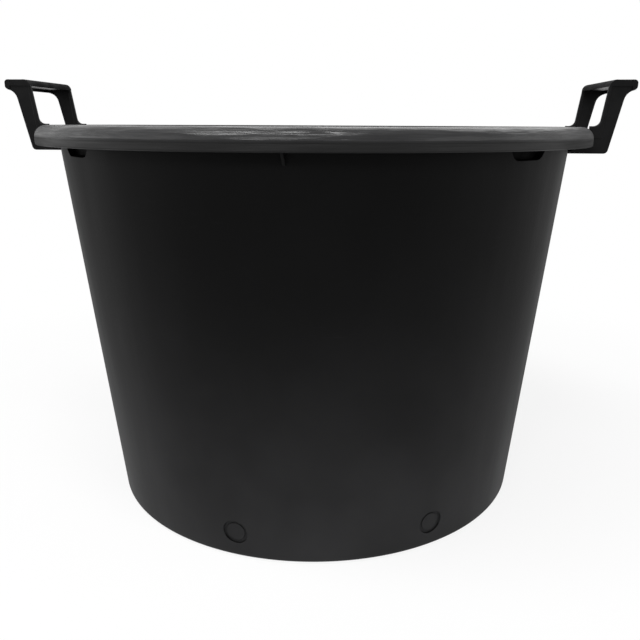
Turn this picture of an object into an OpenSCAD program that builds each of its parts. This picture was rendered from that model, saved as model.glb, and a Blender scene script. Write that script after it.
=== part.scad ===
// Round mortar mixing tub: a tapered moulded tub with a rolled rim,
// and two grab handles that are separate mouldings clipped round the rim.
// Millimetres. +Z is up, the origin is the middle of the base on the ground,
// the handles lie along +X and -X.

/* [Tub] */
// Height from the ground to the top of the rim
tub_h = 412; // [250:1:600]
// Outside diameter of the rolled rim
rim_d = 600; // [400:1:800]
// Lean of the tub's wall away from vertical, in degrees
wall_draft = 5.65; // [2:0.05:9]
// Thickness of the side wall
wall_t = 3.5; // [2.5:0.1:6]
// Thickness of the base
base_t = 4.5; // [3:0.1:8]
// Outside radius where the wall turns into the base
base_edge_r = 5; // [2:0.5:9]
// Inside radius where the wall turns into the floor
floor_edge_r = 14; // [6:0.5:25]
// Width of the ring that the tub stands on
foot_ring_w = 26; // [15:1:60]
// How far the base inside that ring is raised off the ground
foot_h = 3; // [1:0.5:8]

/* [Rolled rim] */
// How far the rim's outer face stands out from the wall, at the rim's top
rim_overhang = 21.5; // [14:0.5:40]
// Height of the rim's skirt, from the rim's top to its lower lip
rim_drop = 19; // [13:0.5:32]
// Thickness of the rim's top and skirt
rim_t = 3.4; // [2.4:0.1:5]
// Radius of the rim's top outer corner
rim_corner_r = 12; // [6:0.5:12]
// Radius of the rim's top inner corner
rim_inner_r = 2.5; // [1:0.5:3]

/* [Rim gussets] */
// Thickness of the gusset at the front and at the back
gusset_t = 2.5; // [1.5:0.1:5]
// How far a gusset's foot reaches down the wall below the rim's lip
gusset_reach = 10.5; // [3:0.5:20]
// How far a gusset's foot stands out from the wall
gusset_foot = 1; // [0.5:0.1:3]

/* [Stacking pockets] */
// Angle of each pocket from the front or back, in degrees
pocket_angle = 48; // [25:1:65]
// Width of a pocket round the wall
pocket_w = 56; // [25:1:80]
// How far a pocket reaches below the rim's lip
pocket_reach = 9; // [4:0.5:25]
// Depth of a pocket into the wall
pocket_depth = 7; // [2:0.5:9]
// Radius of a pocket's lower corners
pocket_corner_r = 13; // [2:0.5:14]

/* [Drain knock-outs] */
// Angle of the first knock-out of a pair from the front, in degrees
knockout_start = -14.3; // [-30:0.1:30]
// Angle between the two knock-outs of a pair, in degrees
knockout_step = 47.8; // [20:0.1:70]
// Height of a knock-out's centre above the ground
knockout_z = 29; // [24:1:60]
// Outside diameter of a knock-out's groove
knockout_d = 26; // [16:0.5:34]
// Width of the groove
knockout_groove_w = 3.4; // [1.5:0.1:6]
// Wall left under the groove
knockout_web_t = 1.2; // [0.6:0.1:2]
// How far the middle disc lies below the wall's face
knockout_sink = 1.2; // [0:0.1:1.8]

/* [Handles] */
// Width of a handle round the rim
handle_w = 105; // [80:1:160]
// Height of the grip's top above the rim
grip_rise = 47.2; // [36:0.2:70]
// How far the grip's lip reaches out beyond the rim
grip_reach = 36; // [28:0.5:60]
// Height of the grip's rolled outer lip
lip_h = 10.2; // [7:0.1:12]
// Thickness of the grip's rolled outer lip
lip_t = 5.6; // [4.5:0.1:8]
// Radius of the rolled lip's outer corners
lip_corner_r = 3.6; // [1.5:0.1:4]
// Thickness of the beads across the grip's two ends
end_bead_t = 6; // [4:0.1:7]
// How far the grip's plate lies below the lip and the beads round it
plate_sink = 3.4; // [1:0.1:3.5]
// Thickness of the grip's plate
plate_t = 3.6; // [2:0.1:4]
// Width of the bead along the grip's inner edge
inner_bead_w = 7.5; // [6:0.5:12]
// Radius of the grip's top inner corner
grip_corner_r = 7; // [3:0.5:8]
// Distance of the legs' inner edge from the rim, level with the rim's top
leg_stand = 1.8; // [0:0.1:4]
// Width of each leg, inner edge to outer edge, level with the rim's top
leg_w = 16.3; // [12:0.1:30]
// Lean of a leg's inner edge, in degrees
leg_inner_lean = 8.1; // [0:0.1:12]
// Lean of a leg's outer edge, in degrees
leg_outer_lean = 12; // [4:0.1:18]
// Thickness of a leg's web
web_t = 3.2; // [2:0.1:5]
// Width of the edge strip along a leg's inner edge
strip_w = 5; // [3.5:0.1:12]
// Thickness of the edge strip along a leg's inner edge
strip_t = 3.2; // [2:0.1:5]
// How far the edge strip stands proud of the web's outer face
strip_proud = 0.9; // [0:0.1:2]
// Radius between a leg's outer edge and the grip's lip
lip_fillet_r = 12; // [4:0.5:14]
// Radius at the foot of a leg's inner edge, where it meets the rim
foot_fillet_r = 7; // [3:0.5:8]
// How far the ledge over the rim stands above the rim's top
ledge_rise = 1; // [0.8:0.1:3]
// How far the ledge reaches in over the rim
ledge_reach = 8; // [6:0.5:18]

/* [Handle clip] */
// How far the handle's underside lies below the rim's lip
jaw_drop = 8; // [5:0.1:15]
// Thickness of the jaw plate under the rim
jaw_t = 2.8; // [2:0.1:5]
// Radius of the jaw's outer corner
jaw_corner_r = 4.5; // [1:0.5:5]
// Thickness of the tongue that hooks up behind the rim's skirt
tongue_t = 3; // [2:0.1:5]
// Height of that tongue above the skirt's lip
tongue_h = 7.5; // [4:0.5:11]
// Clearance between a handle and the tub
clip_gap = 0.3; // [0.2:0.05:0.6]

/* [Hidden] */
plastic_black = [0.085, 0.085, 0.088];
handle_black = [0.075, 0.075, 0.078];
round_fn = 128;
arc_steps = 8;
overlap = 1;

rim_r = rim_d / 2;
lip_z = tub_h - rim_drop;
wall_slope = tan(wall_draft);
wall_step = wall_t / cos(wall_draft);
wall_top_r = rim_r - rim_overhang;
skirt_in_r = rim_r - rim_t;
base_in_z = foot_h + base_t;
rim_under_r = rim_corner_r - rim_t;
rim_under_c = [skirt_in_r - rim_under_r, tub_h - rim_t - rim_under_r];
knockout_depth = wall_t - knockout_web_t;
handle_end = handle_w / 2;
web_end = handle_end - strip_proud;
grip_top = tub_h + grip_rise;
lip_x = rim_r + grip_reach;
ledge_top = tub_h + ledge_rise;
// x of a line that runs inside the skirt's plastic over the width of a leg
seat_x = sqrt(skirt_in_r * skirt_in_r - handle_end * handle_end) + overlap;
jaw_z = lip_z - jaw_drop;
leg_in_slope = tan(leg_inner_lean);
leg_out_slope = tan(leg_outer_lean);

// Outside radius of the tub's wall at a height
function wall_r(z) = wall_top_r - (tub_h - z) * wall_slope;

// Points on an arc from angle a0 to angle a1
function arc(centre, r, a0, a1) =
    [for (i = [0:arc_steps]) let (a = a0 + (a1 - a0) * i / arc_steps)
        centre + r * [cos(a), sin(a)]];

// Centre of a circle of radius r in the corner between a floor at z = low and the
// wall line that passes through radius wall_at_0 at z = 0, on the line's inner side
function corner_x(wall_at_0, low, r) =
    wall_at_0 + (low + r) * wall_slope - r / cos(wall_draft);

// ---- the tub ----

// Half section of the tub, radius against height
module tub_section() {
    outer_0 = wall_r(0);
    inner_0 = outer_0 - wall_step;
    foot_in_r = outer_0 - foot_ring_w;
    edge = [corner_x(outer_0, 0, base_edge_r), base_edge_r];
    floor_edge = [corner_x(inner_0, base_t, floor_edge_r), base_t + floor_edge_r];
    lip_r = rim_t / 2;
    inner_top_r = wall_r(tub_h) - wall_step;
    step_r = foot_in_r - foot_h - base_t;
    polygon(concat(
        [[0, foot_h], [foot_in_r - foot_h, foot_h], [foot_in_r, 0]],
        arc(edge, base_edge_r, -90, -wall_draft),
        [[wall_r(tub_h - rim_t), tub_h - rim_t]],
        arc(rim_under_c, rim_under_r, 90, 0),
        arc([skirt_in_r + lip_r, lip_z + lip_r], lip_r, 180, 360),
        arc([rim_r - rim_corner_r, tub_h - rim_corner_r], rim_corner_r, 0, 90),
        arc([inner_top_r + rim_inner_r, tub_h - rim_inner_r], rim_inner_r, 90, 180 - wall_draft),
        arc(floor_edge, floor_edge_r, -wall_draft, -90),
        [[step_r, base_t], [step_r - foot_h, base_in_z], [0, base_in_z]]));
}

// Solid cone that follows the wall's outer face, grown outward by d
module wall_cone(d) {
    cylinder(h = tub_h, r1 = wall_r(0) + d, r2 = wall_r(tub_h) + d, $fn = round_fn);
}

// Gusset between the wall and the skirt, at the front
module gusset() {
    foot_z = lip_z - gusset_reach;
    top_z = tub_h - rim_t + overlap;
    rotate([90, 0, -90])
        translate([0, 0, -gusset_t / 2])
            linear_extrude(gusset_t)
                polygon(concat(
                    [[wall_r(foot_z) - overlap, foot_z], [wall_r(foot_z) + gusset_foot, foot_z],
                     [skirt_in_r, lip_z + rim_t]],
                    arc(rim_under_c, rim_under_r + overlap, 0, 90),
                    [[wall_r(top_z) - overlap, top_z]]));
}

// Outline of a pocket on a flat plane, width against height above the pocket's foot,
// grown by g all round
module pocket_outline(g) {
    w = pocket_w / 2 + g;
    top = rim_drop + pocket_reach - rim_t - wall_t;
    r = min(pocket_corner_r, pocket_w / 2, top) + g;
    translate([-w, r - g]) square([2 * w, top + g - (r - g)]);
    translate([-w + r, -g]) square([2 * (w - r), top]);
    for (side = [-1, 1])
        translate([side * (w - r), r - g]) circle(r, $fn = 48);
}

// Block that a pocket's outline makes when it is pushed out of the front
module pocket_block(g) {
    translate([0, 0, lip_z - pocket_reach])
        rotate([90, 0, 0])
            linear_extrude(rim_r) pocket_outline(g);
}

// Thickening behind a pocket, on the inside of the wall
module pocket_back() {
    intersection() {
        pocket_block(wall_t);
        difference() {
            wall_cone(-wall_step / 2);
            wall_cone(-wall_step - pocket_depth);
        }
    }
}

module pocket_cut() {
    intersection() {
        pocket_block(0);
        difference() {
            wall_cone(overlap);
            wall_cone(-pocket_depth);
        }
    }
}

// Groove and sunk disc of a knock-out, cut from the front of the wall
module knockout_cut() {
    translate([0, -wall_r(knockout_z), knockout_z])
        rotate([90 + wall_draft, 0, 0]) {
            difference() {
                translate([0, 0, -knockout_depth])
                    cylinder(h = knockout_depth + overlap, d = knockout_d, $fn = 64);
                translate([0, 0, -knockout_depth - overlap])
                    cylinder(h = knockout_depth + overlap - knockout_sink,
                             d = knockout_d - 2 * knockout_groove_w, $fn = 64);
            }
        }
}

// The four places of the pockets, as angles from the front
function pocket_angles() =
    [pocket_angle, -pocket_angle, 180 - pocket_angle, 180 + pocket_angle];

module tub_shell() {
    color(plastic_black)
        difference() {
            union() {
                rotate_extrude($fn = round_fn) tub_section();
                for (a = [0, 180]) rotate([0, 0, a]) gusset();
                for (a = pocket_angles()) rotate([0, 0, a]) pocket_back();
            }
            for (a = pocket_angles()) rotate([0, 0, a]) pocket_cut();
            for (back = [0, 180], i = [0, 1])
                rotate([0, 0, back + knockout_start + i * knockout_step]) knockout_cut();
        }
}

// ---- a handle ----

// x of a leg's inner edge and outer edge at a height above the rim's top
function leg_in(h) = rim_r + leg_stand + h * leg_in_slope;
function leg_out(h) = rim_r + leg_stand + leg_w + h * leg_out_slope;

// x at which a circle of radius r touches a leg's inner or outer edge at a height
function in_centre(h, r) = leg_in(h) + r / cos(leg_inner_lean);
function out_centre(h, r) = leg_out(h) + r / cos(leg_outer_lean);

// Round of radius r over the grip's top inner corner, from the top down to the inner edge
function grip_corner(r) =
    arc([in_centre(grip_rise - r, r), grip_top - r], r, 90, 180 - leg_inner_lean);

// Sweep from a leg's inner edge to the ledge over the rim, and the ledge's end
function ledge_sweep() = concat(
    arc([in_centre(ledge_rise + foot_fillet_r, -foot_fillet_r), ledge_top + foot_fillet_r],
        foot_fillet_r, -leg_inner_lean, -90),
    [[rim_r - ledge_reach, ledge_top], [rim_r - ledge_reach, tub_h - rim_t],
     [seat_x, tub_h - rim_t]]);

// Outline of a leg's web with its fillets, x against z
module leg_outline() {
    lip_under = grip_rise - lip_h;
    fillet_x = out_centre(lip_under - lip_fillet_r, lip_fillet_r);
    jaw_x = out_centre(jaw_z + jaw_corner_r - tub_h, -jaw_corner_r);
    polygon(concat(
        [[wall_r(jaw_z) - overlap, jaw_z]],
        arc([jaw_x, jaw_z + jaw_corner_r], jaw_corner_r, -90, -leg_outer_lean),
        arc([fillet_x, tub_h + lip_under - lip_fillet_r], lip_fillet_r, 180 - leg_outer_lean, 90),
        [[lip_x - lip_t, tub_h + lip_under], [lip_x - lip_t, grip_top]],
        grip_corner(grip_corner_r), ledge_sweep(),
        [[seat_x, lip_z - clip_gap], [wall_r(lip_z) - overlap, lip_z - clip_gap]]));
}

// Strip along a leg's inner edge, widening to the bead across the grip's end
module strip_outline() {
    inner_step = strip_t / cos(leg_inner_lean);
    polygon(concat(
        grip_corner(grip_corner_r), ledge_sweep(),
        [[seat_x, tub_h - rim_corner_r], [leg_in(0) + inner_step, tub_h - rim_corner_r],
         [leg_in(grip_rise - end_bead_t) + inner_step, grip_top - end_bead_t],
         [lip_x - lip_t, grip_top - end_bead_t], [lip_x - lip_t, grip_top]]));
}

// Cross-section of the grip: a plate with a bead above its inner edge, and a rolled outer lip
// that stands above and below it
module grip_section() {
    plate_top = grip_top - plate_sink;
    grip_t = plate_sink + plate_t;
    bead_x = leg_in(grip_rise) + inner_bead_w;
    polygon(concat(
        grip_corner(min(grip_corner_r, grip_t)),
        [[leg_in(grip_rise - grip_t), plate_top - plate_t],
         [lip_x - lip_t, plate_top - plate_t], [lip_x - lip_t, grip_top - lip_h]],
        arc([lip_x - lip_corner_r, grip_top - lip_h + lip_corner_r], lip_corner_r, 270, 360),
        arc([lip_x - lip_corner_r, grip_top - lip_corner_r], lip_corner_r, 0, 90),
        [[lip_x - lip_t, grip_top], [lip_x - lip_t, plate_top],
         [bead_x, plate_top], [bead_x, grip_top]]));
}

// Pushes an outline in x and z out to a thickness, from y = low
module slab(low, thickness) {
    translate([0, low + thickness, 0])
        rotate([90, 0, 0])
            linear_extrude(thickness) children();
}

// Plate under the rim and the tongue that stands up from it behind the skirt
module clip_jaw() {
    out_x = leg_out(jaw_z + jaw_corner_r - tub_h) - jaw_corner_r;
    translate([0, -web_end, jaw_z]) cube([out_x, 2 * web_end, jaw_t]);
    intersection() {
        translate([0, 0, jaw_z])
            difference() {
                cylinder(h = jaw_drop + tongue_h, r = skirt_in_r - clip_gap, $fn = round_fn);
                translate([0, 0, -overlap])
                    cylinder(h = jaw_drop + tongue_h + 2 * overlap,
                             r = skirt_in_r - clip_gap - tongue_t, $fn = round_fn);
            }
        translate([0, -web_end, jaw_z]) cube([lip_x, 2 * web_end, jaw_drop + tongue_h]);
    }
}

// Space that the rim and the wall take, grown by the clip's clearance
module rim_space() {
    g = clip_gap;
    wall_cone(g);
    rotate_extrude($fn = round_fn)
        polygon(concat(
            [[wall_r(lip_z), tub_h - rim_t - g]],
            arc(rim_under_c, rim_under_r - g, 90, 0),
            [[skirt_in_r - g, lip_z - g], [rim_r + g, lip_z - g]],
            arc([rim_r - rim_corner_r, tub_h - rim_corner_r], rim_corner_r + g, 0, 90),
            [[wall_r(lip_z), tub_h + g]]));
}

module handle() {
    difference() {
        union() {
            for (end = [-1, 1]) {
                slab(end > 0 ? web_end - web_t : -web_end, web_t) leg_outline();
                slab(end > 0 ? handle_end - strip_w : -handle_end, strip_w) strip_outline();
            }
            slab(-handle_end, handle_w) grip_section();
            clip_jaw();
        }
        rim_space();
    }
}

module right_handle() {
    color(handle_black) handle();
}

module left_handle() {
    color(handle_black) rotate([0, 0, 180]) handle();
}

tub_shell();
right_handle();
left_handle();
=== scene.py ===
import math

import bmesh
import bpy
from mathutils import Matrix, Vector


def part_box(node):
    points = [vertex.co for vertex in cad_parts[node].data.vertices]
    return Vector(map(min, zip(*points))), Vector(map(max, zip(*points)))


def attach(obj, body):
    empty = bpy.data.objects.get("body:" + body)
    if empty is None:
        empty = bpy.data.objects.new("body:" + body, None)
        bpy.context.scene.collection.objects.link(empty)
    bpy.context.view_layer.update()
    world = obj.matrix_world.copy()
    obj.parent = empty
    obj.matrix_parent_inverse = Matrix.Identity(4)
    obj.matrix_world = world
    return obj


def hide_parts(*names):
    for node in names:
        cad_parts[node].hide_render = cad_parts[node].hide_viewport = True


# Looks of a round mortar mixing tub with two clip-on handles. Metres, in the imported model's frame:
# +Z is up, the base stands on z = 0, the handles lie along +X and -X, and the front is -Y.
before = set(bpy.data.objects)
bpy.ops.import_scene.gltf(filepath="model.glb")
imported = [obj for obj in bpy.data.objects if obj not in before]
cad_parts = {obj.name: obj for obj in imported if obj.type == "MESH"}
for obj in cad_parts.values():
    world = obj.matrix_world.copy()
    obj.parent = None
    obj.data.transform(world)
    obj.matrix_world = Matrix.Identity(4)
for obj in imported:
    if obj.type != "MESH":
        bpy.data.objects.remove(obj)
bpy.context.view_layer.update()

MM = 0.001

# ---- sizes, from the frame where it gives them ----

tub_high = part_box("tub_shell")[1]
hand_low, hand_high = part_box("right_handle")

TUB_H = tub_high.z
RIM_R = tub_high.y
WALL_DRAFT = math.radians(5.65)
WALL_T = 3.5 * MM
BASE_T = 4.5 * MM
BASE_EDGE_R = 5 * MM
FLOOR_EDGE_R = 14 * MM
FOOT_RING_W = 26 * MM
FOOT_H = 3 * MM
SMALL_R = 1.2 * MM

RIM_OVERHANG = 21.5 * MM
RIM_DROP = 19 * MM
RIM_T = 3.4 * MM
RIM_CORNER_R = 12 * MM
RIM_INNER_R = 2.5 * MM

GUSSET_T = 2.5 * MM
GUSSET_REACH = 10.5 * MM
GUSSET_FOOT = 1 * MM

POCKET_ANGLE = math.radians(48)
POCKET_W = 56 * MM
POCKET_REACH = 9 * MM
POCKET_DEPTH = 7 * MM
POCKET_CORNER_R = 13 * MM

KNOCKOUT_START = math.radians(-14.3)
KNOCKOUT_STEP = math.radians(47.8)
KNOCKOUT_Z = 29 * MM
KNOCKOUT_R = 13 * MM
GROOVE_W = 3.4 * MM
GROOVE_DEPTH = 2.3 * MM
DISC_SINK = 1.2 * MM

HALF_W = hand_high.y
GRIP_TOP = hand_high.z
LIP_X = hand_high.x
JAW_Z = hand_low.z
LIP_H = 10.2 * MM
LIP_T = 5.6 * MM
LIP_CORNER_R = 3.6 * MM
END_BEAD_T = 6 * MM
PLATE_SINK = 3.4 * MM
PLATE_T = 3.6 * MM
INNER_BEAD_W = 7.5 * MM
GRIP_CORNER_R = 7 * MM
LEG_STAND = 1.8 * MM
LEG_W = 16.3 * MM
LEG_IN_LEAN = math.radians(8.1)
LEG_OUT_LEAN = math.radians(12)
WEB_T = 3.2 * MM
STRIP_W = 5 * MM
STRIP_T = 3.2 * MM
STRIP_PROUD = 0.9 * MM
LIP_FILLET_R = 12 * MM
FOOT_FILLET_R = 7 * MM
LEDGE_RISE = 1 * MM
LEDGE_REACH = 8 * MM
JAW_T = 2.8 * MM
JAW_CORNER_R = 4.5 * MM
TONGUE_T = 3 * MM
TONGUE_H = 7.5 * MM
CLIP_GAP = 0.3 * MM

# How far a piece goes into the next one before they are joined or cut apart
OVERLAP = 1 * MM
# Step of an arc, steps of a prism's rounded rims, and spacing of the shell's columns and rows where
# nothing is set in
ARC_STEP = math.radians(12)
ROUND_STEPS = 3
COLUMN_STEP = math.radians(1.3)
ROW_STEP = 14 * MM
# A line of the section that rises more than this is the wall, and the wall lies outside this radius
WALL_SPAN = 100 * MM
WALL_MIN_R = 200 * MM
# Columns of the handle's tongue, and of the whole turn that cuts the rim's space out of the handle
TONGUE_COLUMNS = 48
RIM_COLUMNS = 720

LIP_Z = TUB_H - RIM_DROP
WALL_STEP = WALL_T / math.cos(WALL_DRAFT)
SKIRT_IN_R = RIM_R - RIM_T
UNDER_Z = TUB_H - RIM_T
BASE_IN_Z = FOOT_H + BASE_T
RIM_UNDER_R = RIM_CORNER_R - RIM_T
RIM_UNDER_C = (SKIRT_IN_R - RIM_UNDER_R, UNDER_Z - RIM_UNDER_R)


def wall_r(z):
    """Outside radius of the tub's wall at height z."""
    return RIM_R - RIM_OVERHANG - (TUB_H - z) * math.tan(WALL_DRAFT)


# ---- outlines ----

def arc(centre, r, a0, a1):
    """Points on an arc from angle a0 to a1, in degrees."""
    steps = max(2, round(abs(math.radians(a1 - a0)) / ARC_STEP))
    angles = [math.radians(a0 + (a1 - a0) * i / steps) for i in range(steps + 1)]
    return [(centre[0] + r * math.cos(a), centre[1] + r * math.sin(a)) for a in angles]


def rounded(corners):
    """An open line through corners (x, y, radius), with an arc in each corner that has a radius."""
    points = []
    for i, (x, y, r) in enumerate(corners):
        if not r:
            points.append((x, y))
            continue
        here = Vector((x, y))
        before = (Vector(corners[i - 1][:2]) - here).normalized()
        after = (Vector(corners[i + 1][:2]) - here).normalized()
        opening = before.angle(after)
        reach = r / math.tan(opening / 2)
        centre = here + (before + after).normalized() * (r / math.sin(opening / 2))
        start = here + before * reach - centre
        turn = start.angle_signed(here + after * reach - centre)
        steps = max(2, round(abs(turn) / ARC_STEP))
        for k in range(steps + 1):
            points.append(tuple(centre + Matrix.Rotation(-turn * k / steps, 2) @ start))
    return points


# ---- the tub's shell: a turned section with knock-outs and pockets set into its grid ----

# Material slots of the shell, and how deep in the plastic a window's own slot starts
WALL_SKIN = 0
RIM_SKIN = 1
POCKET_SKIN = 2
SKIN_DEPTH = 0.5 * MM
# How far a window reaches past the outline that is set in it
WINDOW_MARGIN = 3.5 * MM


class Window:
    """A rectangle of the shell's grid that a moulded feature takes up."""

    def __init__(self, angle, low, high, half_w, cells, rows, inside, skin=WALL_SKIN):
        self.angle = angle
        self.low = low
        self.high = high
        self.half_w = half_w
        self.cells = cells
        self.rows = rows
        self.inside = inside
        self.skin = skin
        self.rings = []


def surface(angle, u, v, depth, inside):
    """Point on the wall: u round it from angle, v up it, depth into its plastic."""
    if inside:
        r = wall_r(v) - WALL_STEP + depth / math.cos(WALL_DRAFT)
    else:
        r = wall_r(v) - depth / math.cos(WALL_DRAFT)
    turn = angle + u / wall_r(v)
    return r * math.sin(turn), -r * math.cos(turn), v


def spokes(cells, rows):
    """Places round a window's edge from its lower left corner, as (side, share along that side)."""
    places = []
    for side, count in enumerate((cells, rows, cells, rows)):
        places += [(side, i / count) for i in range(count)]
    return places


def circle_ring(window, r):
    """A circle in the middle of a window, one point for each spoke."""
    mid = (window.low + window.high) / 2
    ring = []
    for side, share in spokes(window.cells, window.rows):
        turn = math.radians(-135 + 90 * (side + share))
        ring.append((r * math.cos(turn), mid + r * math.sin(turn)))
    return ring


def box_ring(window, half_w, low, high, low_r, high_r):
    """A rounded rectangle in a window, one point for each spoke. A fifth of each side turns a corner."""
    turn_share = 0.2
    radii = (low_r, low_r, high_r, high_r)
    centres = [Vector((side * (half_w - r), low + r if z_end < 0 else high - r))
               for (side, z_end), r in zip(((-1, -1), (1, -1), (1, 1), (-1, 1)), radii)]
    ring = []
    for side, share in spokes(window.cells, window.rows):
        after = (side + 1) % 4
        turn = -90 + 90 * side
        if share < turn_share:
            turn += 45 * (share / turn_share - 1)
        elif share > 1 - turn_share:
            turn += 45 * (share - 1 + turn_share) / turn_share
        t = min(max((share - turn_share) / (1 - 2 * turn_share), 0), 1)
        centre = centres[side].lerp(centres[after], t)
        r = radii[side] + (radii[after] - radii[side]) * t
        turn = math.radians(turn)
        ring.append((centre.x + r * math.cos(turn), centre.y + r * math.sin(turn)))
    return ring


def knockout_window(angle):
    """Round groove with a sunk disc inside it."""
    disc_r = KNOCKOUT_R - GROOVE_W
    lean = 0.15 * MM
    soft = 0.45 * MM
    section = rounded([
        (KNOCKOUT_R + 1.4 * MM, 0, 0), (KNOCKOUT_R, 0, soft),
        (KNOCKOUT_R - lean, GROOVE_DEPTH, soft), (disc_r + lean, GROOVE_DEPTH, soft),
        (disc_r, DISC_SINK, soft), (disc_r * 0.6, DISC_SINK, 0)])
    half = KNOCKOUT_R + WINDOW_MARGIN
    window = Window(angle, KNOCKOUT_Z - half, KNOCKOUT_Z + half, half, cells=14, rows=14, inside=False)
    window.rings = [(circle_ring(window, r), depth) for r, depth in section]
    return window


def pocket_window(angle, inside):
    """Pocket under the rim, or the swelling behind it on the inside of the wall."""
    grow = WALL_T if inside else 0
    half_w = POCKET_W / 2 + grow
    low = LIP_Z - POCKET_REACH - grow
    high = UNDER_Z - 1.2 * MM if inside else UNDER_Z - WALL_T - SMALL_R
    depth = -POCKET_DEPTH if inside else POCKET_DEPTH
    lean = 0.7 * MM
    soft = 0.9 * MM
    top_r = 3 * MM
    section = rounded([(-1.3 * MM, 0, 0), (0, 0, soft), (lean, depth, soft), (lean + 2 * MM, depth, 0)])
    top = UNDER_Z + 0.8 * MM if inside else UNDER_Z - 2.2 * MM
    skin = WALL_SKIN if inside else POCKET_SKIN
    side_margin = 4 * MM
    window = Window(angle, low - WINDOW_MARGIN, top, half_w + side_margin, cells=30, rows=16,
                    inside=inside, skin=skin)
    for inset, d in section:
        top_inset = inset * 0.5 if inside else inset
        outline = box_ring(window, half_w - inset, low + inset, high - top_inset,
                           POCKET_CORNER_R + grow - inset, top_r - inset)
        window.rings.append((outline, d))
    return window


def even_steps(start, end, step):
    """Values after start up to and including end, evenly spread."""
    count = max(1, math.ceil((end - start) / step - 1e-9))
    return [start + (end - start) * (i + 1) / count for i in range(count)]


def column_angles(windows):
    """Angles of the grid's columns: fine across each window, even between them."""
    spans = {}
    for w in windows:
        half = w.half_w / wall_r((w.low + w.high) / 2)
        spans[round(w.angle, 6)] = max(spans.get(round(w.angle, 6), (0, 0)), (half, w.cells))
    angles = []
    ordered = sorted((a - h, a + h, n) for a, (h, n) in spans.items())
    last = ordered[-1][1] - 2 * math.pi
    for start, end, cells in ordered:
        angles += even_steps(last, start, COLUMN_STEP)
        angles += even_steps(start, end, (end - start) / cells)
        last = end
    return angles


def row_heights(windows, inside, start, end):
    """Heights after start up to end, with every row of the windows on that side of the wall."""
    stops = {round(end, 7)}
    for w in windows:
        if w.inside == inside:
            stops |= {round(z, 7) for z in [w.low] + even_steps(w.low, w.high, (w.high - w.low) / w.rows)}
    heights = []
    last = start
    for stop in sorted(stops, reverse=inside):
        steps = even_steps(0, abs(stop - last), ROW_STEP)
        heights += [last + math.copysign(d, stop - last) for d in steps]
        last = stop
    return heights


def shell_section(windows):
    """Half section of the tub as a list of (r, z), with rows at the windows' heights."""
    foot_in_r = wall_r(0) - FOOT_RING_W
    step_r = foot_in_r - FOOT_H - BASE_T
    line = rounded([
        (0, FOOT_H, 0), (foot_in_r - FOOT_H, FOOT_H, SMALL_R), (foot_in_r, 0, SMALL_R),
        (wall_r(0), 0, BASE_EDGE_R), (wall_r(UNDER_Z), UNDER_Z, SMALL_R),
        (SKIRT_IN_R, UNDER_Z, RIM_UNDER_R), (SKIRT_IN_R, LIP_Z, RIM_T * 0.49),
        (RIM_R, LIP_Z, RIM_T * 0.49), (RIM_R, TUB_H, RIM_CORNER_R),
        (wall_r(TUB_H) - WALL_STEP, TUB_H, RIM_INNER_R),
        (wall_r(BASE_T) - WALL_STEP, BASE_T, FLOOR_EDGE_R), (step_r, BASE_T, SMALL_R),
        (step_r - FOOT_H, BASE_IN_Z, SMALL_R), (0, BASE_IN_Z, 0)])
    section = [line[0]]
    for a, b in zip(line, line[1:]):
        if abs(b[1] - a[1]) > WALL_SPAN:
            shares = [(z - a[1]) / (b[1] - a[1]) for z in row_heights(windows, b[1] < a[1], a[1], b[1])]
        else:
            shares = even_steps(0, 1, 2 * ROW_STEP / math.hypot(b[0] - a[0], b[1] - a[1]))
        section += [(a[0] + (b[0] - a[0]) * t, a[1] + (b[1] - a[1]) * t) for t in shares]
    return section


def fill_grid(bm, ring, cells, rows, skin):
    """Closes a ring with quads, as a grid of cells by rows blended from its four sides."""
    bottom = ring[0:cells + 1]
    right = ring[cells:cells + rows + 1]
    top = ring[cells + rows:2 * cells + rows + 1][::-1]
    left = (ring[2 * cells + rows:] + ring[:1])[::-1]
    grid = [list(bottom)]
    for j in range(1, rows):
        t = j / rows
        line = [left[j]]
        for i in range(1, cells):
            s = i / cells
            co = ((1 - t) * bottom[i].co + t * top[i].co + (1 - s) * left[j].co + s * right[j].co
                  - (1 - s) * (1 - t) * bottom[0].co - s * (1 - t) * bottom[-1].co
                  - (1 - s) * t * top[0].co - s * t * top[-1].co)
            line.append(bm.verts.new(co))
        line.append(right[j])
        grid.append(line)
    grid.append(list(top))
    for low, high in zip(grid, grid[1:]):
        for i in range(cells):
            bm.faces.new((low[i], low[i + 1], high[i + 1], high[i])).material_index = skin


def set_in(bm, window, columns, row_at, grid):
    """Builds a window's rings and middle, and gives the cells of the grid that they take up."""
    half = window.half_w / wall_r((window.low + window.high) / 2)
    j0 = min(range(len(columns)), key=lambda j: abs(columns[j] - (window.angle - half)))
    i0 = row_at(window.low, window.inside)
    i1 = row_at(window.high, window.inside)
    n = window.cells
    step = 1 if i1 > i0 else -1
    cols = [(j0 + k) % len(columns) for k in range(n + 1)]
    rows = list(range(i0, i1 + step, step))
    edge = [grid[rows[0]][j] for j in cols[:-1]]
    edge += [grid[i][cols[-1]] for i in rows[:-1]]
    edge += [grid[rows[-1]][j] for j in cols[:0:-1]]
    edge += [grid[i][cols[0]] for i in rows[:0:-1]]
    last = edge
    for outline, depth in window.rings:
        ring = [bm.verts.new(surface(window.angle, u, v, depth, window.inside)) for u, v in outline]
        for k in range(len(ring)):
            m = (k + 1) % len(ring)
            face = bm.faces.new((last[k], last[m], ring[m], ring[k]))
            face.material_index = window.skin if depth > SKIN_DEPTH else WALL_SKIN
        last = ring
    fill_grid(bm, last, n, window.rows, window.skin)
    return {(min(i, i + step), j) for i in rows[:-1] for j in cols[:-1]}


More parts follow.
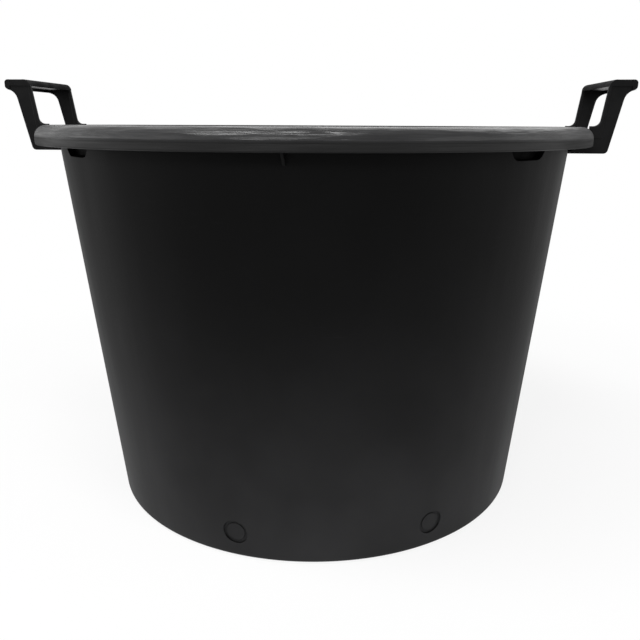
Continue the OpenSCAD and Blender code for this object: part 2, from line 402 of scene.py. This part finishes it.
def build_shell():
    """Closed mesh of the tub: wall, base, rolled rim, pockets with their backs, and knock-outs."""
    windows = []
    for back in (0, math.pi):
        for i in range(2):
            windows.append(knockout_window(back + KNOCKOUT_START + i * KNOCKOUT_STEP))
        for side in (-1, 1):
            for inside in (True, False):
                windows.append(pocket_window(back + side * POCKET_ANGLE, inside))
    # A pocket and the swelling behind it share the columns of the wider one
    for w in windows:
        w.angle = math.atan2(math.sin(w.angle), math.cos(w.angle))
        same = [v for v in windows if abs(v.angle - w.angle) < 1e-6]
        w.half_w = max(v.half_w for v in same)
    columns = column_angles(windows)
    section = shell_section(windows)
    bm = bmesh.new()
    grid = []
    for r, z in section:
        if r == 0:
            grid.append([bm.verts.new((0, 0, z))] * len(columns))
        else:
            grid.append([bm.verts.new((r * math.sin(a), -r * math.cos(a), z)) for a in columns])

    def row_at(z, inside):
        """Row of the section nearest to height z, on the inner or the outer side of the wall."""
        side = [i for i, (r, height) in enumerate(section)
                if (r < wall_r(height) - WALL_T / 2) == inside
                and WALL_MIN_R < r < RIM_R - RIM_OVERHANG]
        return min(side, key=lambda i: abs(section[i][1] - z))

    taken = set()
    for w in windows:
        taken |= set_in(bm, w, columns, row_at, grid)
    for i in range(len(section) - 1):
        for j in range(len(columns)):
            if (i, j) in taken:
                continue
            k = (j + 1) % len(columns)
            corners = []
            for v in (grid[i][j], grid[i][k], grid[i + 1][k], grid[i + 1][j]):
                if v not in corners:
                    corners.append(v)
            bm.faces.new(corners)
    bmesh.ops.recalc_face_normals(bm, faces=bm.faces)
    return bm


# ---- solids for booleans ----

def offset_outline(points, inset):
    """The outline moved inward by inset at every point."""
    moved = []
    for i, p in enumerate(points):
        here = Vector(p)
        before = (here - Vector(points[i - 1])).normalized()
        after = (Vector(points[(i + 1) % len(points)]) - here).normalized()
        normals = Vector((-before.y, before.x)), Vector((-after.y, after.x))
        mid = (normals[0] + normals[1]).normalized()
        moved.append(here + mid * (inset / max(mid.dot(normals[0]), 0.3)))
    return moved


def prism(points, low, high, soft):
    """Outline in x and z (counter-clockwise), pushed from y = low to high, with both rims rounded."""
    bm = bmesh.new()
    turns = [math.pi / 2 * i / ROUND_STEPS for i in range(ROUND_STEPS + 1)]
    rims = [(low + soft * (1 - math.cos(a)), soft * (1 - math.sin(a))) for a in turns]
    rims += [(low + high - y, inset) for y, inset in rims[::-1]]
    rings = []
    for y, inset in rims:
        rings.append([bm.verts.new((p.x, y, p.y)) for p in offset_outline(points, inset)])
    for a, b in zip(rings, rings[1:]):
        for k in range(len(points)):
            m = (k + 1) % len(points)
            bm.faces.new((a[k], a[m], b[m], b[k]))
    bm.faces.new(rings[0][::-1])
    bm.faces.new(rings[-1])
    bmesh.ops.recalc_face_normals(bm, faces=bm.faces)
    return bm


def gusset(back):
    """Rib between the wall and the skirt, at the front or the back."""
    foot_z = LIP_Z - GUSSET_REACH
    top_z = UNDER_Z + OVERLAP
    outline = ([(wall_r(foot_z) - OVERLAP, foot_z), (wall_r(foot_z) + GUSSET_FOOT, foot_z),
                (SKIRT_IN_R, LIP_Z + RIM_T)]
               + arc(RIM_UNDER_C, RIM_UNDER_R + OVERLAP, 0, 90) + [(wall_r(top_z) - OVERLAP, top_z)])
    bm = prism(outline, -GUSSET_T / 2, GUSSET_T / 2, 0.4 * MM)
    turn = math.pi / 2 if back else -math.pi / 2
    bmesh.ops.rotate(bm, verts=bm.verts, cent=(0, 0, 0), matrix=Matrix.Rotation(turn, 3, "Z"))
    return bm


def turned(points, columns, start=0.0, end=2 * math.pi):
    """Closed outline of (r, z), turned about the tub's axis from start to end, as angles from +X."""
    bm = bmesh.new()
    whole = abs(end - start - 2 * math.pi) < 1e-9
    count = columns if whole else columns + 1
    rings = []
    for j in range(count):
        a = start + (end - start) * j / columns
        rings.append([bm.verts.new((r * math.cos(a), r * math.sin(a), z)) for r, z in points])
    n = len(points)
    for j in range(columns):
        a, b = rings[j], rings[(j + 1) % count]
        for k in range(n):
            m = (k + 1) % n
            bm.faces.new((a[k], a[m], b[m], b[k]))
    if not whole:
        bm.faces.new(rings[0])
        bm.faces.new(rings[-1][::-1])
    bmesh.ops.recalc_face_normals(bm, faces=bm.faces)
    return bm


def as_object(bm, name):
    """New object from a bmesh, which it uses up."""
    mesh = bpy.data.meshes.new(name)
    bm.to_mesh(mesh)
    bm.free()
    obj = bpy.data.objects.new(name, mesh)
    bpy.context.scene.collection.objects.link(obj)
    return obj


def combine(obj, tool_bm, operation):
    """Boolean of obj with a solid, applied at once."""
    tool = as_object(tool_bm, "tool")
    cut = obj.modifiers.new("cut", "BOOLEAN")
    cut.operation = operation
    cut.solver = "MANIFOLD"
    cut.object = tool
    graph = bpy.context.evaluated_depsgraph_get()
    result = bpy.data.meshes.new_from_object(obj.evaluated_get(graph))
    obj.modifiers.remove(cut)
    old = obj.data
    obj.data = result
    bpy.data.meshes.remove(old)
    bpy.data.objects.remove(tool)


# ---- the handle ----

def leg_in(h):
    """x of a leg's inner edge at height h above the rim."""
    return RIM_R + LEG_STAND + h * math.tan(LEG_IN_LEAN)


def leg_out(h):
    """x of a leg's outer edge at height h above the rim."""
    return RIM_R + LEG_STAND + LEG_W + h * math.tan(LEG_OUT_LEAN)


def in_centre(h, r):
    """x of the centre of an arc of radius r that touches the inner edge, at its own height h."""
    return leg_in(h) + r / math.cos(LEG_IN_LEAN)


def out_centre(h, r):
    """x of the centre of an arc of radius r that touches the outer edge, at its own height h."""
    return leg_out(h) + r / math.cos(LEG_OUT_LEAN)


GRIP_RISE = GRIP_TOP - TUB_H
SEAT_X = math.sqrt(SKIRT_IN_R ** 2 - HALF_W ** 2) + OVERLAP
IN_LEAN = math.degrees(LEG_IN_LEAN)
OUT_LEAN = math.degrees(LEG_OUT_LEAN)


def grip_corner(r):
    """Round corner between the grip's top and the leg's inner edge."""
    return arc((in_centre(GRIP_RISE - r, r), GRIP_TOP - r), r, 90, 180 - IN_LEAN)


def ledge_sweep():
    """Fillet from the leg's inner edge to the ledge, and the ledge's end over the rim."""
    ledge_top = TUB_H + LEDGE_RISE
    sweep = arc((in_centre(LEDGE_RISE + FOOT_FILLET_R, -FOOT_FILLET_R), ledge_top + FOOT_FILLET_R),
                FOOT_FILLET_R, -IN_LEAN, -90)
    end_x = RIM_R - LEDGE_REACH
    return sweep + [(end_x, ledge_top), (end_x, UNDER_Z), (SEAT_X, UNDER_Z)]


def leg_outline():
    """Outline of a leg's web with its fillets."""
    lip_under = GRIP_RISE - LIP_H
    fillet_x = out_centre(lip_under - LIP_FILLET_R, LIP_FILLET_R)
    jaw_x = out_centre(JAW_Z + JAW_CORNER_R - TUB_H, -JAW_CORNER_R)
    wall_x = wall_r(LIP_Z) - OVERLAP
    return ([(wall_x, JAW_Z)]
            + arc((jaw_x, JAW_Z + JAW_CORNER_R), JAW_CORNER_R, -90, -OUT_LEAN)
            + arc((fillet_x, TUB_H + lip_under - LIP_FILLET_R), LIP_FILLET_R, 180 - OUT_LEAN, 90)
            + [(LIP_X - LIP_T, TUB_H + lip_under), (LIP_X - LIP_T, GRIP_TOP)]
            + grip_corner(GRIP_CORNER_R) + ledge_sweep()
            + [(SEAT_X, LIP_Z - CLIP_GAP), (wall_x, LIP_Z - CLIP_GAP)])


def strip_outline():
    """Outline of the bead along a leg's inner edge and across the grip's end."""
    step = STRIP_T / math.cos(LEG_IN_LEAN)
    foot_z = TUB_H - RIM_CORNER_R
    return (grip_corner(GRIP_CORNER_R) + ledge_sweep()
            + [(SEAT_X, foot_z), (leg_in(0) + step, foot_z),
               (leg_in(GRIP_RISE - END_BEAD_T) + step, GRIP_TOP - END_BEAD_T),
               (LIP_X - LIP_T, GRIP_TOP - END_BEAD_T), (LIP_X - LIP_T, GRIP_TOP)])


def grip_section():
    """Section of the grip: a plate with a bead above its inner edge and a rolled outer lip."""
    plate_top = GRIP_TOP - PLATE_SINK
    grip_t = PLATE_SINK + PLATE_T
    bead_x = leg_in(GRIP_RISE) + INNER_BEAD_W
    return (grip_corner(min(GRIP_CORNER_R, grip_t))
            + [(leg_in(GRIP_RISE - grip_t), plate_top - PLATE_T),
               (LIP_X - LIP_T, plate_top - PLATE_T), (LIP_X - LIP_T, GRIP_TOP - LIP_H)]
            + arc((LIP_X - LIP_CORNER_R, GRIP_TOP - LIP_H + LIP_CORNER_R), LIP_CORNER_R, 270, 360)
            + arc((LIP_X - LIP_CORNER_R, GRIP_TOP - LIP_CORNER_R), LIP_CORNER_R, 0, 90)
            + [(LIP_X - LIP_T, GRIP_TOP), (LIP_X - LIP_T, plate_top),
               (bead_x, plate_top), (bead_x, GRIP_TOP)])


def rim_space():
    """Section of the space that the rim and the wall take, grown by the clip's clearance."""
    g = CLIP_GAP
    low_z = JAW_Z - 5 * MM
    in_r = wall_r(low_z) - 30 * MM
    return ([(in_r, low_z), (wall_r(low_z) + g, low_z),
             (wall_r(UNDER_Z) + g, UNDER_Z - g)]
            + arc(RIM_UNDER_C, RIM_UNDER_R - g, 90, 0)
            + [(SKIRT_IN_R - g, LIP_Z - g), (RIM_R + g, LIP_Z - g)]
            + arc((RIM_R - RIM_CORNER_R, TUB_H - RIM_CORNER_R), RIM_CORNER_R + g, 0, 90)
            + [(in_r, TUB_H + g)])


def build_handle(name):
    """The handle on +X as one closed mesh."""
    web_end = HALF_W - STRIP_PROUD
    soft = 0.7 * MM
    bead_soft = 1.5 * MM
    handle = as_object(prism(grip_section(), -HALF_W, HALF_W, soft), name)
    for end in (-1, 1):
        low = web_end - WEB_T if end > 0 else -web_end
        combine(handle, prism(leg_outline(), low, low + WEB_T, soft), "UNION")
        low = HALF_W - STRIP_W if end > 0 else -HALF_W
        combine(handle, prism(strip_outline(), low, low + STRIP_W, bead_soft), "UNION")
    jaw_out = leg_out(JAW_Z + JAW_CORNER_R - TUB_H) - JAW_CORNER_R
    jaw_in = wall_r(JAW_Z) - 10 * MM
    jaw = [(jaw_in, JAW_Z), (jaw_out, JAW_Z), (jaw_out, JAW_Z + JAW_T), (jaw_in, JAW_Z + JAW_T)]
    jaw_soft = 0.4 * MM
    jaw_end = web_end - 0.05 * MM
    combine(handle, prism(jaw, -jaw_end, jaw_end, jaw_soft), "UNION")
    tongue_r = SKIRT_IN_R - CLIP_GAP
    half = math.asin((web_end - jaw_soft) / tongue_r)
    top = LIP_Z + TONGUE_H
    # The tongue starts inside the jaw plate, so that the two join
    foot_z = JAW_Z + 1 * MM
    tongue = [(tongue_r - TONGUE_T, foot_z), (tongue_r, foot_z),
              (tongue_r, top), (tongue_r - TONGUE_T, top)]
    combine(handle, turned(tongue, TONGUE_COLUMNS, -half, half), "UNION")
    combine(handle, turned(rim_space(), RIM_COLUMNS), "DIFFERENCE")
    return handle


# ---- mesh finish ----

SHARP_ANGLE = math.radians(35)


def smooth(obj):
    """Smooth shading, but sharp where the surface turns by more than SHARP_ANGLE."""
    mesh = obj.data
    mesh.polygons.foreach_set("use_smooth", [True] * len(mesh.polygons))
    mesh.set_sharp_from_angle(angle=SHARP_ANGLE)
    weighted = obj.modifiers.new("weighted", "WEIGHTED_NORMAL")
    weighted.keep_sharp = True


# ---- materials ----

# Specular level of the wall, the rim, the pockets, kept low there as painted shade, the handles' sides
# and the grips, worn dull between their ends, and the blue of a grey against its red
WALL_GLOSS = 0.06
RIM_GLOSS = 0.2
POCKET_SHADE_GLOSS = 0.02
SIDE_GLOSS = 0.06
GRIP_GLOSS = 0.03
BLUE_SHARE = 1.03
# Grey of the wall under the rim, a painted shade of the rim, and at the ground, a painted light from the
# floor, and how late that painted light sets in on the way down
WALL_RIM_SHADE_GREY = 0.0014
WALL_FLOOR_LIGHT_GREY = 0.029
FLOOR_LIGHT_CURVE = 1.6
# What a scuff adds to the wall's grey and roughness, and hands to the roughness of the rim
SCUFF_GREY = 0.006
SCUFF_ROUGHNESS = 0.08
GRIPPED_ROUGHNESS = 0.36
# Noise scale of the mould's grain on the tub and on the handles, per metre
WALL_GRAIN = 1700
HANDLE_GRAIN = 1500


class Nodes:
    """Short names for building the nodes of a material or a world."""

    def __init__(self, owner):
        owner.use_nodes = True
        self.owner = owner
        self.tree = owner.node_tree
        self.tree.nodes.clear()

    def add(self, kind, inputs=None, **settings):
        """A node with its settings, and each input linked to a socket or set to a value."""
        node = self.tree.nodes.new("ShaderNode" + kind)
        for key, value in settings.items():
            setattr(node, key, value)
        for key, value in (inputs or {}).items():
            socket = node.inputs[key]
            if isinstance(value, bpy.types.NodeSocket):
                self.tree.links.new(value, socket)
            else:
                socket.default_value = value
        return node

    def math(self, operation, a, b=0.0):
        return self.add("Math", {0: a, 1: b}, operation=operation).outputs[0]

    def ramp(self, value, low, high, to_low=0.0, to_high=1.0):
        """A soft step from to_low to to_high, as the value goes from low to high."""
        node = self.add("MapRange", {"Value": value, "From Min": low, "From Max": high,
                                     "To Min": to_low, "To Max": to_high},
                        interpolation_type="SMOOTHSTEP")
        return node.outputs["Result"]

    def noise(self, vector, scale, detail=2.0, roughness=0.5):
        node = self.add("TexNoise", {"Vector": vector, "Scale": scale, "Detail": detail,
                                     "Roughness": roughness})
        return node.outputs["Fac"]

    def vary(self, noise, low, high):
        """A value that drifts between low and high with a noise."""
        return self.ramp(noise, 0.3, 0.7, low, high)

    def place(self):
        """The point that is shaded."""
        return self.add("NewGeometry").outputs["Position"]

    def coordinates(self):
        """x, y and z of the point that is shaded."""
        return tuple(self.add("SeparateXYZ", {"Vector": self.place()}).outputs)

    def ring_vector(self, round_scale, along_scale):
        """Coordinates that run round the tub's axis and along its section, for streaks."""
        x, y, z = self.coordinates()
        r = self.math("SQRT", self.math("ADD", self.math("MULTIPLY", x, x), self.math("MULTIPLY", y, y)))
        r = self.math("MAXIMUM", r, 0.01)
        along = self.math("SUBTRACT", r, z)
        return self.add("CombineXYZ", {
            0: self.math("MULTIPLY", self.math("DIVIDE", x, r), round_scale),
            1: self.math("MULTIPLY", self.math("DIVIDE", y, r), round_scale),
            2: self.math("MULTIPLY", along, along_scale)}).outputs[0]

    def mix(self, share, a, b):
        """From a at share 0 to b at share 1."""
        node = self.add("Mix", {"Factor": share, "A": a, "B": b}, data_type="FLOAT")
        return node.outputs[0]

    def grey(self, value):
        """A grey with a little more blue, as carbon black gives plastic."""
        blue = self.math("MULTIPLY", value, BLUE_SHARE)
        return self.add("CombineColor", {0: value, 1: value, 2: blue}).outputs[0]

    def bump(self, height, strength, distance, normal=None):
        inputs = {"Height": height, "Strength": strength, "Distance": distance}
        if normal is not None:
            inputs["Normal"] = normal
        return self.add("Bump", inputs).outputs[0]

    def moulded_grain(self, scale):
        """Normal of a surface with the fine grain of its mould."""
        return self.bump(self.noise(self.place(), scale), 0.25, 0.00012)

    def seen(self):
        """1 where a ray ends that is seen, straight or in a reflection, and 0 where it brings light."""
        ray = self.add("LightPath").outputs
        reflected = self.math("MAXIMUM", ray["Is Glossy Ray"], ray["Is Transmission Ray"])
        return self.math("MAXIMUM", ray["Is Camera Ray"], reflected)

    def surface(self, colour, roughness, normal, specular):
        """Ends a plastic's nodes and gives its material."""
        shader = self.add("BsdfPrincipled", {"Base Color": colour, "Roughness": roughness,
                                             "Normal": normal, "Specular IOR Level": specular})
        self.add("OutputMaterial", {"Surface": shader.outputs[0]})
        return self.owner


def wall_plastic():
    """Dull black plastic with painted shade under the rim and painted floor light that make it paler
    towards the ground, with scuffs.
    """
    n = Nodes(bpy.data.materials.new("wall_plastic"))
    place = n.place()
    height = n.coordinates()[2]
    cloud = n.noise(place, 9, 3)
    flow = n.noise(n.ring_vector(7, 5), 1)
    orange_peel = n.noise(place, 210)
    scratch = n.ramp(n.noise(n.ring_vector(5, 420), 1), 0.68, 0.76)
    patch = n.ramp(n.noise(place, 14), 0.52, 0.7)
    scuff = n.math("MULTIPLY", scratch, patch)
    # Painted shade under the rim that turns into painted light from the floor towards the ground
    painted_floor_light = n.math("POWER", n.ramp(height, 0.42, -0.12), FLOOR_LIGHT_CURVE)
    value = n.mix(painted_floor_light, WALL_RIM_SHADE_GREY, WALL_FLOOR_LIGHT_GREY)
    value = n.math("MULTIPLY", value, n.vary(cloud, 0.82, 1.18))
    value = n.math("ADD", value, n.math("MULTIPLY", scuff, SCUFF_GREY))
    rough = n.math("ADD", n.vary(flow, 0.52, 0.58), n.math("MULTIPLY", scuff, SCUFF_ROUGHNESS))
    normal = n.bump(orange_peel, 0.12, 0.0006, n.moulded_grain(WALL_GRAIN))
    return n.surface(n.grey(value), rough, normal, WALL_GLOSS)


def pocket_shade_plastic():
    """Black of the recesses, with a sheen kept low as painted shade."""
    n = Nodes(bpy.data.materials.new("pocket_shade_plastic"))
    place = n.place()
    value = n.vary(n.noise(place, 60, 3), 0.002, 0.004)
    rough = n.vary(n.noise(place, 90), 0.55, 0.7)
    # The low sheen darkens the pockets as painted shade
    return n.surface(n.grey(value), rough, n.moulded_grain(WALL_GRAIN), POCKET_SHADE_GLOSS)


def rim_plastic():
    """Smoother plastic with marks that run round the rim, a surface that waves a little, and a top that
    is worn smoother and painted paler than the skirt as a painted highlight.
    """
    n = Nodes(bpy.data.materials.new("rim_plastic"))
    place = n.place()
    x, _, height = n.coordinates()
    streak = n.noise(n.ring_vector(5, 620), 1, 3, 0.55)
    wide = n.noise(n.ring_vector(4.5, 170), 1, 3)
    slow = n.noise(n.ring_vector(5, 70), 1)
    grain = n.noise(place, WALL_GRAIN)
    worn_and_lit_top = n.ramp(height, TUB_H - 1.05 * RIM_CORNER_R, TUB_H - 0.8 * RIM_CORNER_R)
    gripped = n.ramp(n.math("ABSOLUTE", x), 0.68 * RIM_R, 0.92 * RIM_R)
    cloud = n.noise(place, 20)
    # The top of the rim is painted much paler than the skirt, a painted highlight of the lamps above; its
    # lower roughness there is wear
    value = n.mix(worn_and_lit_top, n.vary(cloud, 0.001, 0.002), n.vary(cloud, 0.013, 0.019))
    marks = n.math("ADD", n.math("MULTIPLY", streak, 0.5), n.math("MULTIPLY", wide, 0.5))
    rough = n.math("ADD", n.mix(worn_and_lit_top, 0.4, 0.17), n.ramp(marks, 0.35, 0.65, 0.0, 0.16))
    rough = n.math("ADD", rough, n.math("MULTIPLY", gripped, GRIPPED_ROUGHNESS))
    wave = n.mix(worn_and_lit_top, 0.25, 1.0)
    normal = n.bump(n.math("MULTIPLY", slow, wave), 0.4, 0.006)
    normal = n.bump(n.math("MULTIPLY", wide, wave), 0.4, 0.0022, normal)
    normal = n.bump(streak, 0.3, 0.0006, normal)
    normal = n.bump(grain, 0.12, 0.0001, normal)
    return n.surface(n.grey(value), rough, normal, RIM_GLOSS)


def handle_plastic(name, gloss, roughness, grey):
    """Moulded plastic of the handles, with a fine grain."""
    n = Nodes(bpy.data.materials.new(name))
    place = n.place()
    value = n.vary(n.noise(place, 35, 3), 0.75 * grey, 1.25 * grey)
    rough = n.vary(n.noise(place, 60, 3), 0.85 * roughness, 1.15 * roughness)
    normal = n.bump(n.noise(place, 260), 0.15, 0.0006, n.moulded_grain(HANDLE_GRAIN))
    return n.surface(n.grey(value), rough, normal, gloss)


# ---- pieces ----

def shell_skin(face):
    """Material slot of a face of the tub: the rim's plastic is also on the gussets and in the grooves."""
    if face.material_index == POCKET_SKIN:
        return POCKET_SKIN
    x, y, z = face.center
    r = math.hypot(x, y)
    on_rim = z > UNDER_Z + 1.5 * MM or (z > LIP_Z - 0.5 * MM and r > SKIRT_IN_R - RIM_UNDER_R)
    on_gusset = abs(x) < GUSSET_T and r > wall_r(z) + 0.2 * MM
    in_groove = z < KNOCKOUT_Z + KNOCKOUT_R and r > wall_r(z) - WALL_T and face.normal.z > 0.4
    return RIM_SKIN if on_rim or on_gusset or in_groove else WALL_SKIN


def tub_shell():
    """The tub, with the materials in the order of the shell's slots."""
    shell = as_object(build_shell(), "tub_shell_moulding")
    for material in (wall_plastic(), rim_plastic(), pocket_shade_plastic()):
        shell.data.materials.append(material)
    for back in (False, True):
        combine(shell, gusset(back), "UNION")
    for face in shell.data.polygons:
        face.material_index = shell_skin(face)
    smooth(shell)
    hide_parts("tub_shell")
    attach(shell, "root")


def handles():
    """The right handle, and the left one as its copy turned by half a turn."""
    right = build_handle("right_handle_moulding")
    # Joining the parts of the handle leaves an empty slot
    right.data.materials.clear()
    right.data.materials.append(handle_plastic("handle_side_plastic", SIDE_GLOSS, 0.38, 0.005))
    right.data.materials.append(handle_plastic("grip_plastic", GRIP_GLOSS, 0.75, 0.0075))
    for face in right.data.polygons:
        on_grip = abs(face.center.y) < HALF_W - STRIP_W and face.normal.z > 0
        face.material_index = 1 if on_grip and face.center.z > TUB_H + GRIP_RISE / 2 else 0
    left_mesh = right.data.copy()
    left_mesh.transform(Matrix.Rotation(math.pi, 4, "Z"))
    left = bpy.data.objects.new("left_handle_moulding", left_mesh)
    bpy.context.scene.collection.objects.link(left)
    for obj, node in ((right, "right_handle"), (left, "left_handle")):
        smooth(obj)
        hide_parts(node)
        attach(obj, "root")


# ---- stage ----

def build_floor():
    """Wide white floor that goes from a soft shadow near the tub to plain white further out."""
    mesh = bpy.data.meshes.new("floor")
    half = 8.0
    corners = [(-half, -half, 0), (half, -half, 0), (half, half, 0), (-half, half, 0)]
    mesh.from_pydata(corners, [], [(0, 1, 2, 3)])
    floor = bpy.data.objects.new("floor", mesh)
    bpy.context.scene.collection.objects.link(floor)
    n = Nodes(bpy.data.materials.new("floor"))
    distance = n.add("VectorMath", {0: n.place()}, operation="LENGTH").outputs["Value"]
    white_share = n.math("MULTIPLY", n.seen(), n.ramp(distance, 0.35, 1.0, 0.85, 1.0))
    matte = n.add("BsdfDiffuse", {"Color": (0.8, 0.8, 0.8, 1)})
    white = n.add("Emission", {"Color": (1, 1, 1, 1), "Strength": 1.0})
    mixed = n.add("MixShader", {0: white_share, 1: matte.outputs[0], 2: white.outputs[0]})
    n.add("OutputMaterial", {"Surface": mixed.outputs[0]})
    floor.data.materials.append(n.owner)


def build_world(ambient):
    """White surroundings where they are seen, and an even light of the given strength from them."""
    world = bpy.data.worlds.new("studio")
    bpy.context.scene.world = world
    n = Nodes(world)
    strength = n.mix(n.seen(), ambient, 1.0)
    background = n.add("Background", {"Color": (1, 1, 1, 1), "Strength": strength})
    n.add("OutputWorld", {"Surface": background.outputs[0]})


def soft_box(name, place, aim, width, height, radiance):
    """Area lamp of a given brightness that looks from place at aim."""
    data = bpy.data.lights.new(name, "AREA")
    data.shape = "RECTANGLE"
    data.size = width
    data.size_y = height
    data.energy = radiance * math.pi * width * height
    lamp = bpy.data.objects.new(name, data)
    lamp.location = place
    lamp.rotation_mode = "QUATERNION"
    lamp.rotation_quaternion = (Vector(aim) - Vector(place)).to_track_quat("-Z", "Y")
    lamp.visible_camera = False
    bpy.context.scene.collection.objects.link(lamp)


def build_lamps():
    """Narrow lamps above and in front that draw the rim's shine, and wide weak ones round the rest."""
    rim_middle = (0, 0, 0.4)
    wall_middle = (0, 0, 0.2)
    soft_box("top_light", (-0.25, -0.6, 1.9), rim_middle, width=1.2, height=0.28, radiance=27.5)
    soft_box("front_light", (-0.35, -2.1, 1.25), rim_middle, width=1.0, height=0.45, radiance=11.6)
    soft_box("left_light", (-1.6, -0.6, 0.8), wall_middle, width=1.8, height=0.9, radiance=1.4)
    soft_box("right_light", (1.6, -0.6, 0.8), wall_middle, width=1.8, height=0.9, radiance=1.4)
    soft_box("back_light", (0.4, 2.0, 1.9), wall_middle, width=2.6, height=1.6, radiance=1.0)


def build_camera():
    """Camera near the level of the rim, a little to the right of the front, looking slightly down."""
    distance = 0.8234
    side = math.radians(5.224)
    height = 0.4139
    pan = math.radians(3.885)
    tilt = math.radians(15.99)
    roll = math.radians(0.258)
    data = bpy.data.cameras.new("camera")
    data.sensor_width = 36
    data.lens = 38.883
    data.shift_x = -0.0194
    data.shift_y = 0.0034
    camera = bpy.data.objects.new("camera", data)
    forward = Vector((-math.sin(pan) * math.cos(tilt), math.cos(pan) * math.cos(tilt), -math.sin(tilt)))
    right_way = forward.cross(Vector((0, 0, 1))).normalized()
    up = right_way.cross(forward)
    across = right_way * math.cos(roll) + up * math.sin(roll)
    upward = up * math.cos(roll) - right_way * math.sin(roll)
    turn = Matrix((across, upward, -forward)).transposed()
    place = Vector((distance * math.sin(side), -distance * math.cos(side), height))
    camera.matrix_world = Matrix.Translation(place) @ turn.to_4x4()
    bpy.context.scene.collection.objects.link(camera)
    bpy.context.scene.camera = camera


tub_shell()
handles()
build_camera()
build_floor()
build_world(ambient=0.25)
build_lamps()
bpy.context.scene.view_settings.view_transform = "Standard"
